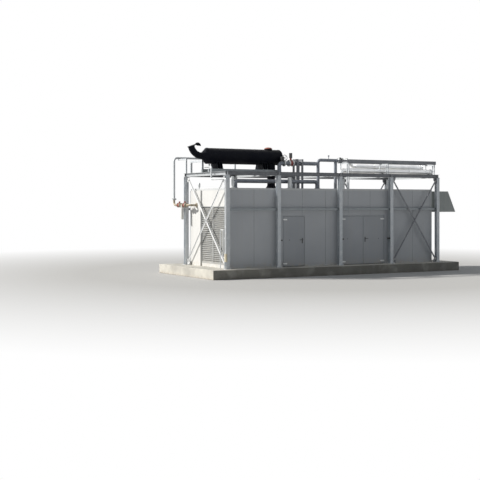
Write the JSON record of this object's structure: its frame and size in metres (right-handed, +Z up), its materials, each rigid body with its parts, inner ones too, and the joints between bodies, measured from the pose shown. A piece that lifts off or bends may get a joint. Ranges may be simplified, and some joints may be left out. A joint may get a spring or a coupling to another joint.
{
  "type": "containerised gas generator set enclosure with pipe frame and exhaust silencer",
  "caption": "Walk-in generator set enclosure on a concrete plinth, under a galvanised steel frame that carries its silencer, pipes and cable ladder.",
  "frame": {"origin": "middle of the plinth's underside", "axes": "+X along the long side towards the weather hood, -Y towards the side with the doors, +Z up"},
  "size_m": [12.912, 5.05, 5.5332],
  "materials": {
    "clad_aluminium": "smooth cladding sheet",
    "concrete": "cast, weathered",
    "door_grey": "satin powder coat",
    "galvanised": "hot-dip galvanised, dull",
    "hood_grey": "satin coil coating",
    "louvre_white": "satin powder coat",
    "panel_white": "satin coil coating",
    "pipe_galvanised": "galvanised pipe",
    "pipe_grey": "matt paint",
    "relief_red": "heat-resistant primer",
    "seal_cream": "moulded plastic",
    "silencer_black": "heat-resistant matt paint",
    "valve_black": "satin paint",
    "valve_red": "gloss paint"
  },
  "bodies": {
    "structure": {"back_wall": "panel_white", "cable_ladder": "galvanised", "clad_pipe_valve": "valve_black", "columns": "galvanised", "condensate_drain": "pipe_galvanised", "coolant_pipe": "pipe_galvanised", "coolant_valve": "valve_red", "cover_panel": "panel_white", "cross_beams": "galvanised", "door_catches": "galvanised", "door_frames": "door_grey", "end_braces": "galvanised", "end_hood": "hood_grey", "exhaust_elbow": "silencer_black", "exhaust_riser": "silencer_black", "front_wall": "panel_white", "gas_filter": "panel_white", "gas_pipe": "pipe_galvanised", "gas_supports": "galvanised", "gas_valves": "valve_red", "girt_rails": "galvanised", "handwheel_valve": "valve_black", "ladder_rungs": "galvanised", "left_end_wall_middle": "panel_white", "left_end_wall_sides": "panel_white", "long_beams": "galvanised", "louvre_bank_left": "louvre_white", "louvre_bank_right": "louvre_white", "louvre_frame": "louvre_white", "lower_clad_pipe": "clad_aluminium", "pipe_goalpost": "galvanised", "pipe_stands": "galvanised", "plinth": "concrete", "rack_posts": "galvanised", "relief_dome": "relief_red", "right_end_wall_middle": "panel_white", "right_end_wall_sides": "panel_white", "roof_crossover_pipe": "pipe_galvanised", "roof_panel": "panel_white", "roof_stacks": "pipe_galvanised", "side_braces": "galvanised", "silencer": "silencer_black", "silencer_rails": "galvanised", "silencer_saddles": "silencer_black", "siphon_pipe": "pipe_grey", "upper_clad_pipe": "clad_aluminium", "valve_actuator": "valve_black", "wall_cap": "panel_white", "walls_over_doors": "panel_white", "water_seal": "seal_cream"},
    "single_door_leaf": {"single_door": "door_grey"},
    "double_door_left_leaf": {"double_door_left": "door_grey"},
    "double_door_right_leaf": {"double_door_right": "door_grey"},
    "rain_flap_body": {"rain_flap": "silencer_black"}
  },
  "joints": [
    {"name": "single_door_hinge", "type": "hinge", "parent": "structure", "child": "single_door_leaf", "pos_m": [-2.656, -1.888, 1.43], "axis": [0, 0, -1], "range_deg": [0, 90]},
    {"name": "double_door_left_hinge", "type": "hinge", "parent": "structure", "child": "double_door_left_leaf", "pos_m": [0.299, -1.888, 1.43], "axis": [0, 0, -1], "range_deg": [0, 90]},
    {"name": "double_door_right_hinge", "type": "hinge", "parent": "structure", "child": "double_door_right_leaf", "pos_m": [2.531, -1.888, 1.43], "axis": [0, 0, 1], "range_deg": [0, 90]},
    {"name": "rain_flap_hinge", "type": "hinge", "parent": "structure", "child": "rain_flap_body", "pos_m": [-5.9477, -0.275, 5.4451], "axis": [0, 1, 0], "range_deg": [0, 50]}
  ]
}
